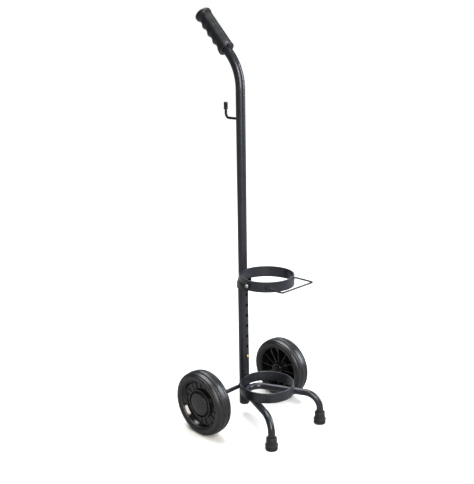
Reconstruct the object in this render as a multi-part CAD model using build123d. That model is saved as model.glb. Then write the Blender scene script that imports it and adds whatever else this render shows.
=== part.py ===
from build123d import *

import os
from math import cos, radians, sin, sqrt, tan

# A two-wheeled cart that carries one upright gas cylinder. Millimetres, +Z up, X along the axle.
# The pieces are modelled about the pole's axis: the cylinder and the feet are in front of it (-Y) and the
# grip leans to the rear (+Y). They are moved together at the end, so that the origin is at the middle of
# the whole cart's outline, on the floor.

# ---- Driving dimensions ----

# Fits and clearances
running_gap = 0.05
loose_gap = 0.3
sink = 1.0

# Pole: an outer base tube and an inner upper pole that slides in it
pole_radius = 10.5
pole_wall = 1.5
pole_tail = 35.5
pole_bend_start = 768.0
pole_bend_radius = 106.0
grip_tilt = 44.0
telescope_gap = 0.5
base_wall = 1.0
base_bottom = 29.0
base_top = 338.0

# Guides and plug
plug_thickness = 3.0
plug_depth = 12.0
plug_rounding = 2.4
guide_depth = 22.0
guide_lip = 1.5
glide_thickness = 4.0
glide_depth = 10.0
glide_wall = 2.0

# Height adjustment and snap button
lowest_hole = 149.5
hole_pitch = 25.5
height_steps = 6
button_radius = 3.5
button_proud = 2.2
button_rounding = 1.5
button_flange_radius = 4.6
button_flange_thickness = 1.2
spring_thickness = 0.7
spring_width = 6.0
spring_drop = 30.0
spring_rise = 4.0
spring_bend_radius = 2.0

# Rings
ring_radius = 62.4
ring_wall = 3.0
ring_height = 23.5
upper_ring_rise = 4.0

# Legs and feet
leg_radius = 8.0
leg_wall = 1.5
leg_splay = 23.8
leg_height = 71.5
leg_arch_radius = 31.0
leg_end_radius = 36.0
foot_reach = 164.0
tip_wall = 6.0
tip_ridge_proud = 0.6
tip_ridge_height = 12.0
tip_ridge_width = 2.5
tip_sleeve_wall = 3.2
tip_sleeve_flare = 1.2
tip_bevel = 1.0
tip_height = 29.0
tip_floor = 5.0
foot_washer_thickness = 1.5

# Axle and wheels; places along the axle are measured outwards from a wheel's middle
axle_radius = 4.75
wheel_radius = 75.0
wheel_width = 40.0
wheel_offset = 133.0
tyre_depth = 19.0
tyre_bead_height = 4.5
tyre_flank_top = 11.0
tyre_shoulder_top = 2.0
tyre_shoulder_width = 4.4
tyre_line_width = 2.6
tyre_line_height = 1.4
tyre_crown_width = 7.0
tyre_crown_drop = 0.5
tyre_bevel = 1.2
rim_wall = 5.5
rim_half_width = 14.5
rim_lip = 2.0
rim_flare = 2.0
web_inner_face = 3.0
web_outer_face = 7.0
face_ring_radius = 33.0
face_ring_face = 13.0
face_ring_width = 2.6
face_ring_foot = 1.0
hub_draft = 1.5
hub_boss_radius = 14.0
hub_boss_face = -18.0
hub_seat_radius = 26.3
hub_seat_face = 11.0
bushing_wall = 2.3
face_rib_count = 18
face_rib_height = 3.5
cavity_rib_count = 12
cavity_rib_height = 15.0
rib_thickness = 2.2
cap_rim_height = 4.2
cap_dome_height = 2.6
cap_wall = 1.4
cap_spigot_height = 1.5
cap_spigot_width = 2.0
tread_groove_radius = 2.3
tread_groove_place = 6.8
washer_radius = 10.0
washer_thickness = 1.2
stop_radius = 8.0
stop_width = 5.0
push_nut_radius = 7.5
push_nut_width = 2.4

# Upper ring's bracket and bolts
clamp_wall = 2.3
clamp_drop = 20.0
clamp_height = 15.0
arm_thickness = 2.5
arm_rise = 2.0
arm_height = 12.5
eye_radius = 6.5
bolt_radius = 2.5
bolt_head_width = 8.0
bolt_head_height = 3.5
bolt_forward = 3.0

# Weld beads
axle_bead_radius = 7.2
axle_bead_length = 2.5
arch_bead_radius = 6.5
seam_bead_radius = 5.5
seam_bead_margin = 3.0
ring_bead_radius = 4.2
bead_core = 2.5

# Wire bail
bail_wire_radius = 2.0
bail_reach = 50.0
bail_pivot_forward = 41.6
bail_corner_radius = 5.0
bail_end_radius = 3.5
bail_shoulder = 0.9

# Hook
hook_wire_radius = 3.0
hook_height = 704.5
hook_reach = 46.0
hook_bend_radius = 10.0
hook_rise = 29.0
hook_cap_radius = 5.0
hook_cap_length = 16.0
hook_cap_cover = 10.0
hook_cap_rounding = 3.0

# Hand grip, measured along its own axis from the end of the pole's bend
grip_start = 14.0
grip_length = 108.0
grip_wall = 6.5
grip_lip_proud = 1.2
grip_lip_length = 6.0
grip_lip_bevel = 1.0
grip_flange_proud = 2.5
grip_flange_length = 8.0
grip_rounding = 3.0
grip_flare = 4.0
grip_end_wall = 5.0
finger_groove_count = 4
finger_groove_pitch = 22.6
finger_groove_first = 20.5
finger_groove_radius = 17.0
finger_groove_depth = 3.6
finger_groove_shift = 2.2

# ---- Sizes that follow ----

base_inner = pole_radius + telescope_gap
base_radius = base_inner + base_wall
pole_inner = pole_radius - pole_wall
pole_bottom = lowest_hole - pole_tail
upper_ring_bottom = base_top + upper_ring_rise
clamp_bottom = base_top - clamp_drop
arm_bottom = base_top + arm_rise
bolt_side = ring_radius + arm_thickness
tip_radius = leg_radius + tip_wall
tip_ridge_radius = tip_radius + tip_ridge_proud
tip_sleeve_radius = leg_radius + tip_sleeve_wall
rim_radius = wheel_radius - tyre_depth
grip_radius = pole_radius + grip_wall
grip_lip_radius = grip_radius + grip_lip_proud
grip_flange_radius = grip_radius + grip_flange_proud
ring_inner = ring_radius - ring_wall
ring_y = -(base_radius + ring_radius)
lower_ring_bottom = leg_height + leg_radius
upper_ring_middle = upper_ring_bottom + ring_height / 2
upper_ring_top = upper_ring_bottom + ring_height
bolt_y = ring_y - bolt_forward
bail_y = ring_y - bail_pivot_forward
bail_wall_x = sqrt(ring_radius ** 2 - bail_pivot_forward ** 2)
bail_end_x = sqrt((ring_inner + loose_gap) ** 2 - (bail_pivot_forward - bail_wire_radius) ** 2)
bail_arm_x = bail_wall_x + bail_shoulder + bail_end_radius
splay = radians(leg_splay)
arch_apex_y = -(base_radius + leg_radius)
arch_corner_y = arch_apex_y + leg_arch_radius * (1 / sin(splay) - 1)
foot_x = (arch_corner_y + foot_reach) * tan(splay)
bore_radius = axle_radius + running_gap
bushing_radius = bore_radius + bushing_wall
rim_inner = rim_radius - rim_wall
outer_washer_place = hub_seat_face + running_gap
push_nut_place = outer_washer_place + washer_thickness
axle_end_place = push_nut_place + push_nut_width
inner_washer_place = hub_boss_face - running_gap - washer_thickness
stop_place = inner_washer_place - stop_width
hole_radius = button_radius + loose_gap
button_flange_face = loose_gap - sqrt(pole_inner ** 2 - button_flange_radius ** 2)
button_back = button_flange_face + button_flange_thickness
tilt = radians(grip_tilt)
pole_corner = pole_bend_start + pole_bend_radius * tan(tilt / 2)
grip_place = pole_bend_radius * tan(tilt / 2) + grip_start


# ---- Shapes used by several pieces ----

def rod_x(radius, start, end, y, z):
    """A solid round rod along X, between start and end."""
    low, high = sorted((start, end))
    plane = Plane(origin=(low, y, z), x_dir=(0, 1, 0), z_dir=(1, 0, 0))
    return extrude(plane * Circle(radius), amount=high - low)


def rod_y(radius, start, end, z):
    """A solid round rod along Y at x = 0, from start to end."""
    plane = Plane(origin=(0, start, z), x_dir=(1, 0, 0), z_dir=(0, 1, 0))
    return extrude(plane * Circle(radius), amount=end - start)


def rod_z(radius, bottom, top, x=0.0, y=0.0):
    """A solid round rod along Z, from bottom to top, with its seam at the rear."""
    return Pos(x, y, bottom) * Rot(0, 0, 90) * extrude(Circle(radius), amount=top - bottom)


def tube_z(radius, inner_radius, bottom, top, y=0.0):
    """A round tube along Z, from bottom to top."""
    return rod_z(radius, bottom, top, 0, y) - rod_z(inner_radius, bottom, top, 0, y)


def swept_rod(path, radius, inner_radius=0.0):
    """A rod, or a tube, of constant section along a path."""
    section = Circle(radius)
    if inner_radius > 0:
        section -= Circle(inner_radius)
    return sweep(Plane(origin=path @ 0, z_dir=path % 0) * section, path=path)


def turned(outline, plane):
    """A solid turned about the plane's X axis from a closed outline of (along, radius) lines."""
    return revolve(make_face(plane * outline), axis=Axis(plane.origin, plane.x_dir))


def one_solid(shape):
    """The shape without the wrapping that boolean operations leave."""
    return shape.solids()[0] if len(shape.solids()) == 1 else Compound(shape.solids())


# ---- Pole's lower half ----

def base_tube():
    tube = tube_z(base_radius, base_inner, base_bottom, base_top)
    for step in range(height_steps + 1):
        tube -= rod_y(hole_radius, -base_radius - sink, 0, lowest_hole + step * hole_pitch)
    return tube - rod_x(axle_radius, -base_radius - sink, base_radius + sink, 0, wheel_radius)


def base_plug():
    cap = rod_z(base_radius, base_bottom - plug_thickness, base_bottom)
    cap = fillet(cap.edges().sort_by(Axis.Z)[0], plug_rounding)
    return cap + rod_z(base_inner, base_bottom, base_bottom + plug_depth)


def guide_bush():
    bore = pole_radius + running_gap
    sleeve = tube_z(base_inner, bore, base_top - guide_depth, base_top)
    return sleeve + tube_z(base_radius, bore, base_top, base_top + guide_lip)


# ---- Legs and feet ----

def leg_path():
    """The bent leg tube's middle line: foot, leg, arch in front of the pole, leg, foot."""
    tube_end = tip_floor + foot_washer_thickness
    corners = [
        (-foot_x, -foot_reach, tube_end),
        (-foot_x, -foot_reach, leg_height),
        (0, arch_corner_y, leg_height),
        (foot_x, -foot_reach, leg_height),
        (foot_x, -foot_reach, tube_end),
    ]
    return FilletPolyline(*corners, radius=[leg_end_radius, leg_arch_radius, leg_end_radius])


def leg_tube():
    return swept_rod(leg_path(), leg_radius, leg_radius - leg_wall)


def foot_tip(side):
    ridge_bottom = tip_ridge_height - tip_ridge_width
    outline = Polyline(
        (0, 0),
        (tip_radius - tip_bevel, 0),
        (tip_radius, tip_bevel),
        (tip_radius, ridge_bottom - tip_bevel),
        (tip_ridge_radius, ridge_bottom),
        (tip_ridge_radius, tip_ridge_height),
        (tip_sleeve_radius + tip_sleeve_flare, tip_ridge_height + 2 * tip_bevel),
        (tip_sleeve_radius, tip_height - tip_bevel),
        (tip_sleeve_radius - tip_bevel, tip_height),
        (0, tip_height),
        close=True,
    )
    tip = revolve(make_face(Plane.XZ * outline), axis=Axis.Z)
    tip -= rod_z(leg_radius, tip_floor, tip_height)
    return Pos(side * foot_x, -foot_reach, 0) * tip


def foot_washer(side):
    return rod_z(leg_radius, tip_floor, tip_floor + foot_washer_thickness, side * foot_x, -foot_reach)


# ---- Rings and their bracket ----

def ring_band(bottom):
    return tube_z(ring_radius, ring_inner, bottom, bottom + ring_height, ring_y)


def ring_disc(bottom, top):
    """Everything inside a ring's outer face, to cut neighbours with."""
    return rod_z(ring_radius, bottom, top, 0, ring_y)


def upper_ring():
    ring = ring_band(upper_ring_bottom)
    ring -= rod_x(bolt_radius, -bolt_side, bolt_side, bolt_y, upper_ring_middle)
    return ring - rod_x(bail_wire_radius + loose_gap, -bolt_side, bolt_side, bail_y, upper_ring_middle)


def ring_bracket():
    clamp_radius = base_radius + clamp_wall
    arm_top = arm_bottom + arm_height
    span = 2 * bolt_side
    shell = tube_z(bolt_side, ring_radius, arm_bottom, upper_ring_top, ring_y)
    rear_half = Pos(0, bolt_y + span / 2, (arm_bottom + arm_top) / 2) * Box(span, span, arm_height)
    arms = (shell & rear_half) - Pos(0, 0, arm_bottom) * Box(2 * base_radius, span, span)
    eyes = shell & rod_x(eye_radius, -bolt_side, bolt_side, bolt_y, upper_ring_middle)
    bracket = tube_z(clamp_radius, base_radius, clamp_bottom, clamp_bottom + clamp_height) + arms + eyes
    cheek_length = -(ring_y + sqrt(ring_radius ** 2 - clamp_radius ** 2))
    cheek = Box(clamp_wall, cheek_length, arm_top - clamp_bottom)
    for side in (-1, 1):
        middle_x = side * (base_radius + clamp_wall / 2)
        bracket += Pos(middle_x, -cheek_length / 2, (arm_top + clamp_bottom) / 2) * cheek
    bracket -= ring_disc(upper_ring_bottom, upper_ring_top)
    for side in (-1, 1):
        bracket -= rod_x(bolt_radius, side * bolt_radius, side * (bolt_side + sink), bolt_y, upper_ring_middle)
    return bracket


def bracket_bolt(side):
    shank = rod_x(bolt_radius, side * bolt_radius, side * bolt_side, bolt_y, upper_ring_middle)
    shank -= rod_z(ring_inner + running_gap, clamp_bottom, upper_ring_top, 0, ring_y)
    plane = Plane(origin=(side * bolt_side, bolt_y, upper_ring_middle), x_dir=(0, 1, 0), z_dir=(side, 0, 0))
    head = extrude(plane * RegularPolygon(bolt_head_width / 2, 6, major_radius=False), amount=bolt_head_height)
    return shank + head


def bail_wire():
    front_y = bail_y - bail_reach
    corners = [
        (-bail_end_x, bail_y, upper_ring_middle),
        (-bail_arm_x, bail_y, upper_ring_middle),
        (-bail_arm_x, front_y, upper_ring_middle),
        (bail_arm_x, front_y, upper_ring_middle),
        (bail_arm_x, bail_y, upper_ring_middle),
        (bail_end_x, bail_y, upper_ring_middle),
    ]
    radii = [bail_end_radius, bail_corner_radius, bail_corner_radius, bail_end_radius]
    return swept_rod(FilletPolyline(*corners, radius=radii), bail_wire_radius)


# ---- Weld beads ----

def axle_welds():
    """A bead on each side of the base tube, round the axle."""
    beads = []
    for side in (-1, 1):
        bead = rod_x(axle_bead_radius, 0, side * (base_radius + axle_bead_length), 0, wheel_radius)
        bead -= rod_x(axle_radius, 0, side * wheel_offset, 0, wheel_radius)
        beads.append(bead - rod_z(base_radius, 0, base_top))
    return beads[0] + beads[1]


def arch_weld():
    """The bead between the legs' arch and the base tube."""
    bead = Pos(0, -base_radius, leg_height) * Sphere(arch_bead_radius)
    bead -= rod_y(bead_core, -base_radius - leg_radius, 0, leg_height)
    return bead - rod_z(base_radius, 0, base_top) - swept_rod(leg_path(), leg_radius)


def seam_welds():
    """Two beads down the seams between the lower ring and the base tube."""
    bottom = lower_ring_bottom + seam_bead_margin
    top = lower_ring_bottom + ring_height - seam_bead_margin
    beads = rod_z(seam_bead_radius, bottom, top, 0, -base_radius)
    beads -= Pos(0, -base_radius, lower_ring_bottom) * Box(2 * bead_core, 4 * base_radius, 4 * ring_height)
    return beads - rod_z(base_radius, 0, base_top) - ring_disc(0, base_top)


def ring_weld(side):
    """The bead outside the lower ring, where it stands on a leg."""
    centre_distance = arch_corner_y - ring_y
    reach = sqrt((ring_radius + ring_bead_radius / 3) ** 2 - (centre_distance * sin(splay)) ** 2)
    along = centre_distance * cos(splay) + reach
    place = (side * along * sin(splay), arch_corner_y - along * cos(splay), lower_ring_bottom)
    return Pos(*place) * Sphere(ring_bead_radius) - ring_disc(0, base_top) - swept_rod(leg_path(), leg_radius)


# ---- Axle and wheels ----

def axle():
    reach = wheel_offset + axle_end_place
    return rod_x(axle_radius, -reach, reach, 0, wheel_radius)


def wheel_plane(side):
    """The plane of a wheel's outlines: X outwards along the axle, Y up."""
    return Plane(origin=(side * wheel_offset, 0, wheel_radius), x_dir=(side, 0, 0), z_dir=(0, -side, 0))


def axle_ring(side, radius, inner_radius, start, end):
    """A ring on the axle, between two places on a wheel."""
    near = side * (wheel_offset + start)
    far = side * (wheel_offset + end)
    return rod_x(radius, near, far, 0, wheel_radius) - rod_x(inner_radius, near, far, 0, wheel_radius)


def axle_stop(side):
    return axle_ring(side, stop_radius, axle_radius, stop_place, inner_washer_place)


def inner_washer(side):
    place = inner_washer_place
    return axle_ring(side, washer_radius, bore_radius, place, place + washer_thickness)


def outer_washer(side):
    return axle_ring(side, washer_radius, bore_radius, outer_washer_place, push_nut_place)


def push_nut(side):
    return axle_ring(side, push_nut_radius, axle_radius, push_nut_place, axle_end_place)


def tyre(side):
    half = wheel_width / 2
    line_top = wheel_radius - tyre_shoulder_top - 2 * tyre_line_height
    crown_edge = tyre_shoulder_width + tyre_crown_width / 2
    flank = [
        (-rim_half_width, rim_radius),
        (-rim_half_width - rim_flare, rim_radius + rim_flare / 2),
        (-half + tyre_bevel, rim_radius + tyre_bead_height),
        (-half, wheel_radius - tyre_flank_top),
        (-half + tyre_bevel / 2, line_top - 2 * tyre_line_height),
        (-half + tyre_line_width, line_top - tyre_line_height),
        (-half + tyre_line_width, line_top),
        (-half + tyre_shoulder_width, wheel_radius - tyre_shoulder_top),
        (-half + crown_edge, wheel_radius - tyre_crown_drop),
        (-half + crown_edge + tyre_crown_width, wheel_radius),
    ]
    outline = flank + [(-place, radius) for place, radius in reversed(flank)]
    plane = wheel_plane(side)
    body = turned(Polyline(*outline, close=True), plane)
    for place in (-tread_groove_place, tread_groove_place):
        groove = plane * Pos(place, wheel_radius + tread_groove_radius / 4) * Circle(tread_groove_radius)
        body -= revolve(groove, axis=Axis(plane.origin, plane.x_dir))
    return body


def radial_rib(side, angle, inner_radius, outer_radius, start, end):
    """A straight rib on a wheel's web, sunk a little into what it joins."""
    length = outer_radius - inner_radius + sink
    rib = Box(abs(end - start), length, rib_thickness)
    rib = Pos(0, (inner_radius + outer_radius) / 2, 0) * rib
    return Pos(side * (wheel_offset + (start + end) / 2), 0, wheel_radius) * Rot(angle, 0, 0) * rib


def wheel_hub(side):
    spigot_radius = hub_seat_radius - cap_wall
    outline = Polyline(
        (hub_boss_face, bushing_radius),
        (hub_boss_face, hub_boss_radius),
        (web_inner_face, hub_boss_radius + hub_draft),
        (web_inner_face, rim_inner - hub_draft),
        (-rim_half_width, rim_radius - rim_lip),
        (-rim_half_width, rim_radius),
        (rim_half_width, rim_radius),
        (rim_half_width, rim_radius - rim_lip),
        (web_outer_face + hub_draft, rim_inner),
        (web_outer_face, rim_inner - hub_draft),
        (web_outer_face, face_ring_radius + face_ring_width / 2 + face_ring_foot),
        (face_ring_face, face_ring_radius + face_ring_width / 2),
        (face_ring_face, face_ring_radius - face_ring_width / 2),
        (web_outer_face + face_ring_foot, hub_seat_radius + 2 * hub_draft),
        (hub_seat_face, hub_seat_radius),
        (hub_seat_face, spigot_radius),
        (hub_seat_face + cap_spigot_height, spigot_radius),
        (hub_seat_face + cap_spigot_height, spigot_radius - cap_spigot_width),
        (hub_seat_face, spigot_radius - cap_spigot_width),
        (hub_seat_face, bushing_radius),
        close=True,
    )
    ribs = []
    for index in range(face_rib_count):
        angle = index * 360 / face_rib_count
        face = web_outer_face + face_rib_height
        ribs.append(radial_rib(side, angle, face_ring_radius, rim_inner, web_outer_face - sink, face))
    for index in range(cavity_rib_count):
        angle = index * 360 / cavity_rib_count
        face = web_inner_face - cavity_rib_height
        ribs.append(radial_rib(side, angle, hub_boss_radius, rim_inner, face, web_inner_face + sink))
    return turned(outline, wheel_plane(side)) + ribs


def hub_bushing(side):
    return axle_ring(side, bushing_radius, bore_radius, hub_boss_face, hub_seat_face)


def hub_cap(side):
    """A shallow domed cap that stands on the hub's seat, round the seat's spigot."""
    crown = hub_seat_face + cap_rim_height + cap_dome_height
    dome_radius = (hub_seat_radius ** 2 + cap_dome_height ** 2) / (2 * cap_dome_height)
    dome_middle = Pos(side * (wheel_offset + crown - dome_radius), 0, wheel_radius) * Rot(0, 0, 90)
    seat = side * (wheel_offset + hub_seat_face)
    top = side * (wheel_offset + crown)
    outside = rod_x(hub_seat_radius, seat, top, 0, wheel_radius) & dome_middle * Sphere(dome_radius)
    inside = rod_x(hub_seat_radius - cap_wall, seat, top, 0, wheel_radius)
    return outside - (inside & dome_middle * Sphere(dome_radius - cap_wall))


# ---- Handle: the pole's upper half and what it carries ----

def upper_pole():
    straight = grip_place + grip_length - grip_end_wall
    end = (0, straight * sin(tilt), pole_corner + straight * cos(tilt))
    path = FilletPolyline((0, 0, pole_bottom), (0, 0, pole_corner), end, radius=pole_bend_radius)
    tube = swept_rod(path, pole_radius, pole_inner)
    return tube - rod_y(button_radius + running_gap, -pole_radius - sink, 0, lowest_hole)


def pole_glide():
    flange = rod_z(base_inner - running_gap, pole_bottom - glide_thickness, pole_bottom)
    spigot = rod_z(pole_inner, pole_bottom, pole_bottom + glide_depth)
    bore = rod_z(pole_inner - glide_wall, pole_bottom - glide_thickness, pole_bottom + glide_depth)
    return flange + spigot - bore


def hand_grip():
    """The grip, modelled upright and leant over to the rear; its finger grooves fade out round from +Y."""
    flange_start = grip_length - grip_flange_length
    outline = Polyline(
        (0, 0),
        (grip_lip_radius - grip_lip_bevel, 0),
        (grip_lip_radius, grip_lip_bevel),
        (grip_lip_radius, grip_lip_length - grip_lip_bevel),
        (grip_radius, grip_lip_length),
        (grip_radius, flange_start - grip_flare),
        (grip_flange_radius, flange_start),
        (grip_flange_radius, grip_length),
        (0, grip_length),
        close=True,
    )
    grip = revolve(make_face(Plane.XZ * outline), axis=Axis.Z)
    grip = fillet(grip.edges().group_by(Axis.Z)[-1], grip_rounding)
    waist = grip_radius - finger_groove_depth + finger_groove_shift
    groove = Torus(waist + finger_groove_radius, finger_groove_radius)
    for index in range(finger_groove_count):
        height = finger_groove_first + index * finger_groove_pitch
        grip -= Pos(0, -finger_groove_shift, height) * Rot(0, 0, 90) * groove
    grip -= rod_z(pole_radius, 0, grip_length - grip_end_wall)
    place = (0, grip_place * sin(tilt), pole_corner + grip_place * cos(tilt))
    return Plane(origin=place, x_dir=(1, 0, 0), z_dir=(0, sin(tilt), cos(tilt))) * grip


def hook_rod():
    top = hook_height + hook_rise
    corners = [(0, pole_radius - sink, hook_height), (0, hook_reach, hook_height), (0, hook_reach, top)]
    rod = swept_rod(FilletPolyline(*corners, radius=hook_bend_radius), hook_wire_radius)
    return rod - rod_z(pole_radius, base_top, pole_bend_start)


def hook_cap():
    rod_top = hook_height + hook_rise
    bottom = rod_top - hook_cap_cover
    cap = rod_z(hook_cap_radius, bottom, bottom + hook_cap_length, 0, hook_reach)
    cap = fillet(cap.edges().sort_by(Axis.Z)[-1], hook_cap_rounding)
    return cap - rod_z(hook_wire_radius, bottom, rod_top, 0, hook_reach)


def snap_button():
    stem = rod_y(button_radius, -base_radius - button_proud, button_flange_face, lowest_hole)
    stem = fillet(stem.edges().sort_by(Axis.Y)[0], button_rounding)
    return stem + rod_y(button_flange_radius, button_flange_face, button_back, lowest_hole)


def button_spring():
    """A leaf bent to a V inside the pole, between the button and the rear wall."""
    half_width = spring_width / 2
    front = button_back + spring_thickness
    rear = sqrt(pole_inner ** 2 - half_width ** 2) - spring_thickness
    top = lowest_hole + spring_rise
    points = [(front, top), ((front + 3 * rear) / 4, lowest_hole - spring_drop), (rear, top)]
    leaf = trace(FilletPolyline(*points, radius=spring_bend_radius), spring_thickness)
    return extrude(Plane.YZ * leaf, amount=half_width, both=True)


# ---- The whole cart ----

def all_pieces():
    """Every piece about the pole's axis, by its node's name."""
    pieces = {
        "base_tube": base_tube(),
        "base_plug": base_plug(),
        "guide_bush": guide_bush(),
        "leg_tube": leg_tube(),
        "lower_ring": ring_band(lower_ring_bottom),
        "upper_ring": upper_ring(),
        "ring_bracket": ring_bracket(),
        "axle": axle(),
        "axle_welds": axle_welds(),
        "arch_weld": arch_weld(),
        "seam_welds": seam_welds(),
        "upper_pole": upper_pole(),
        "pole_glide": pole_glide(),
        "hand_grip": hand_grip(),
        "hook_rod": hook_rod(),
        "hook_cap": hook_cap(),
        "snap_button": snap_button(),
        "button_spring": button_spring(),
        "bail_wire": bail_wire(),
    }
    pair = [
        bracket_bolt, ring_weld, foot_tip, foot_washer, axle_stop, inner_washer, outer_washer, push_nut,
        tyre, wheel_hub, hub_bushing, hub_cap,
    ]
    for build_piece in pair:
        for name, side in (("left", -1), ("right", 1)):
            pieces[f"{build_piece.__name__}_{name}"] = build_piece(side)
    return {name: one_solid(piece) for name, piece in pieces.items()}


pieces = all_pieces()
outlines = [piece.bounding_box() for piece in pieces.values()]
front_edge = min(box.min.Y for box in outlines)
rear_edge = max(box.max.Y for box in outlines)
floor = min(box.min.Z for box in outlines)
shift_y = -(front_edge + rear_edge) / 2

os.makedirs("parts", exist_ok=True)
for name, piece in pieces.items():
    export_step(Pos(0, shift_y, -floor) * piece, f"parts/{name}.step")
print(f"{len(pieces)} nodes, moved by {shift_y:.4f} along Y and {-floor:.4f} along Z")
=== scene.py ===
"""The looks of a two-wheeled cart for one gas cylinder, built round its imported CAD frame.

Lengths are metres in the CAD's own frame: X along the axle, -Y towards the feet, Z up, the floor at zero.
"""
import logging
import math
from collections.abc import Callable, Iterable
from dataclasses import dataclass, replace
from enum import Enum

import bmesh
import bpy
from mathutils import Matrix, Vector


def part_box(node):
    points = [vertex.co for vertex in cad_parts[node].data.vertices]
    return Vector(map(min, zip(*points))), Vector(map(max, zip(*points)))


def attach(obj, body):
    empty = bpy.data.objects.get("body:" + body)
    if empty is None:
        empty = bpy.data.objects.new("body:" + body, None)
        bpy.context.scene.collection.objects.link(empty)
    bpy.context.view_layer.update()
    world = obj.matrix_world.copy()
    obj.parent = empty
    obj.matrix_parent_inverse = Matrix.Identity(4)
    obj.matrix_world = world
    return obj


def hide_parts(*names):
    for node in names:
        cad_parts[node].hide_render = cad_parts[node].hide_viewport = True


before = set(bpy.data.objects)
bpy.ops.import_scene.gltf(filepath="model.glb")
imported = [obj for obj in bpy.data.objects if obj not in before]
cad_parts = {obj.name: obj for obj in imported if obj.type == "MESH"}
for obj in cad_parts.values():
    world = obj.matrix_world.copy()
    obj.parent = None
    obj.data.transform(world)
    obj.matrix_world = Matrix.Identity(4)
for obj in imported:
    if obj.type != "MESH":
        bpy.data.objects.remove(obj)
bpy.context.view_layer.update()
LOG = logging.getLogger("cylinder_cart")
MM = 0.001
JOIN_DISTANCE = 1e-6
SHARP_EDGE = math.radians(32)
Colour = tuple[float, float, float]
# Painted shade: the colour of the stripe that stands for the shadow seen through the base tube's holes.
HOLE_SHADE_COLOUR: Colour = (0.001, 0.001, 0.0012)


class Side(Enum):
    """The two sides of the cart, with the sign of X on each."""

    LEFT = -1
    RIGHT = 1

    def named(self, stem: str) -> str:
        """The stem with the side's own ending."""
        return f"{stem}_{self.name.lower()}"


class Grain(Enum):
    """The fine relief of a finish."""

    PEEL = "the dimples of a baked powder coat"
    SPARK = "the fine sand of a moulding tool"
    BRUSHED = "short scratches along one axis"
    SMOOTH = "a polished surface with faint waves"


# ---- Reading the frame ----


@dataclass(frozen=True)
class Span:
    """The box that a CAD node fills at rest."""

    low: Vector
    high: Vector

    @classmethod
    def of(cls, node: str) -> "Span":
        """The span of the named CAD node."""
        return cls(*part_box(node))

    @property
    def middle(self) -> Vector:
        """The middle of the box."""
        return (self.low + self.high) / 2

    @property
    def size(self) -> Vector:
        """The box's three sides."""
        return self.high - self.low


# ---- Outlines ----


@dataclass(frozen=True)
class Corner:
    """A corner of a turned outline: its place along the axis, its distance from it and its rounding."""

    along: float
    radius: float
    rounding: float = 0.0


def rounded_corner(before: Vector, at: Vector, after: Vector, rounding: float) -> list[Vector]:
    """Replaces a corner by an arc that touches both of its runs.

    Args:
        before: The corner before, as a flat vector.
        at: The corner itself.
        after: The corner after.
        rounding: The arc's radius, which is shortened where a run is too short for it.

    Returns:
        The points of the arc, with one more on each run to hold the flat beside it flat.
    """
    back, ahead = before - at, after - at
    half = back.angle(ahead) / 2
    if rounding <= 0 or half > math.radians(88):
        return [at]
    reach = min(rounding / math.tan(half), 0.42 * back.length, 0.42 * ahead.length)
    radius = reach * math.tan(half)
    middle = at + (back.normalized() + ahead.normalized()).normalized() * (radius / math.sin(half))
    start, end = at + back.normalized() * reach, at + ahead.normalized() * reach
    steps = max(3, math.ceil((math.pi - 2 * half) / math.radians(18)))
    first, last = (start - middle).normalized(), (end - middle).normalized()
    arc = [middle + radius * first.slerp(last, step / steps) for step in range(steps + 1)]
    hold = 0.15 * reach
    return [start + back.normalized() * hold, *arc, end + ahead.normalized() * hold]


def rounded_outline(corners: Iterable[Corner], closed: bool) -> list[tuple[float, float]]:
    """Rounds the corners of an outline.

    Args:
        corners: The outline's corners in order.
        closed: Whether the last corner joins the first; an open outline starts and ends on the axis.

    Returns:
        The (along, radius) points of the rounded outline, with the first repeated last when closed.
    """
    listed = list(corners)
    flat = [Vector((corner.along, corner.radius)) for corner in listed]
    points: list[Vector] = []
    for index, corner in enumerate(listed):
        if not closed and index in (0, len(listed) - 1):
            points.append(flat[index])
            continue
        after = flat[(index + 1) % len(listed)]
        points += rounded_corner(flat[index - 1], flat[index], after, corner.rounding)
    if closed:
        points.append(points[0])
    return [(point.x, point.y) for point in points]


# ---- Geometry Nodes ----


class Graph:
    """A node tree that is built node by node."""

    def __init__(self, tree: bpy.types.NodeTree) -> None:
        """Takes a node tree.

        Args:
            tree: The tree.
        """
        self.tree = tree

    def fill(self, socket: bpy.types.NodeSocket, value: object) -> None:
        """Links another socket to an input, or sets the input's value.

        Args:
            socket: The input.
            value: The other socket, or the value.
        """
        if isinstance(value, bpy.types.NodeSocket):
            self.tree.links.new(value, socket)
        else:
            socket.default_value = value

    def node(self, kind: str, inputs: dict[int | str, object] | None = None,
             **options: object) -> bpy.types.Node:
        """Adds a node.

        Args:
            kind: The node's type.
            inputs: What goes into its sockets: another socket, or a value.
            options: The node's own settings.

        Returns:
            The new node.
        """
        made = self.tree.nodes.new(kind)
        for option, value in options.items():
            setattr(made, option, value)
        for socket, value in (inputs or {}).items():
            self.fill(made.inputs[socket], value)
        return made

    def math(self, operation: str, first: object, second: object = 0.0) -> bpy.types.NodeSocket:
        """Adds a Math node and returns its value."""
        return self.node("ShaderNodeMath", {0: first, 1: second}, operation=operation).outputs[0]

    def if_seen(self, otherwise: float, seen: float) -> bpy.types.NodeSocket:
        """One value for what the camera sees directly and another for reflections and bounced light."""
        ray = self.node("ShaderNodeLightPath").outputs["Is Camera Ray"]
        inputs = {"Value": ray, "To Min": otherwise, "To Max": seen}
        return self.node("ShaderNodeMapRange", inputs).outputs[0]


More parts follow.
